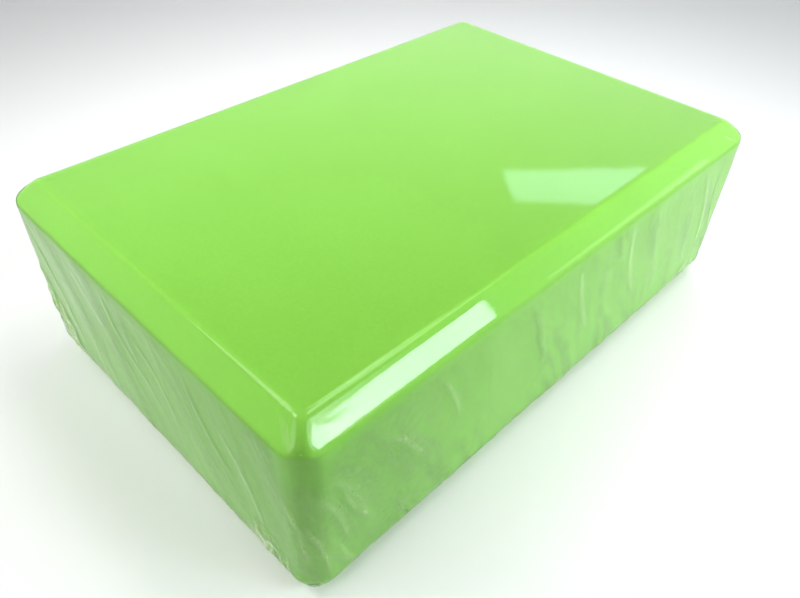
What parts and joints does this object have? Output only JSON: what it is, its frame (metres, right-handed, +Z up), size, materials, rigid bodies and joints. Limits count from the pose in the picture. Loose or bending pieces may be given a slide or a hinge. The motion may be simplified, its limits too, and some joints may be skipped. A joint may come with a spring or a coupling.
{
  "type": "foam exercise block in shrink film",
  "caption": "Bevel-edged foam brick for propping up or supporting the body in yoga and floor exercise, sealed in clear shrink film.",
  "frame": {"origin": "centre of the underside of the wrapped block, on the surface that it rests on", "axes": "+X along the length towards the right end, +Y across the width towards the welded long side, +Z up through the thickness"},
  "size_m": [0.2298, 0.1536, 0.0732],
  "materials": {
    "foam": "lime-green closed-cell EVA foam, matt, with a fine cell grain",
    "film": "clear glossy polyolefin shrink film, slightly milky where it lies on the foam",
    "weld": "clear film melted or bunched to a whitish bead"
  },
  "bodies": {
    "root": {"foam_block": "foam", "film_upper_panel": "film", "film_lower_panel": "film", "weld_left_end": "weld", "weld_right_end": "weld", "weld_back_side": "weld", "corner_tuck_front_left": "weld", "corner_tuck_front_right": "weld", "corner_tuck_back_left": "weld", "corner_tuck_back_right": "weld"}
  },
  "joints": []
}
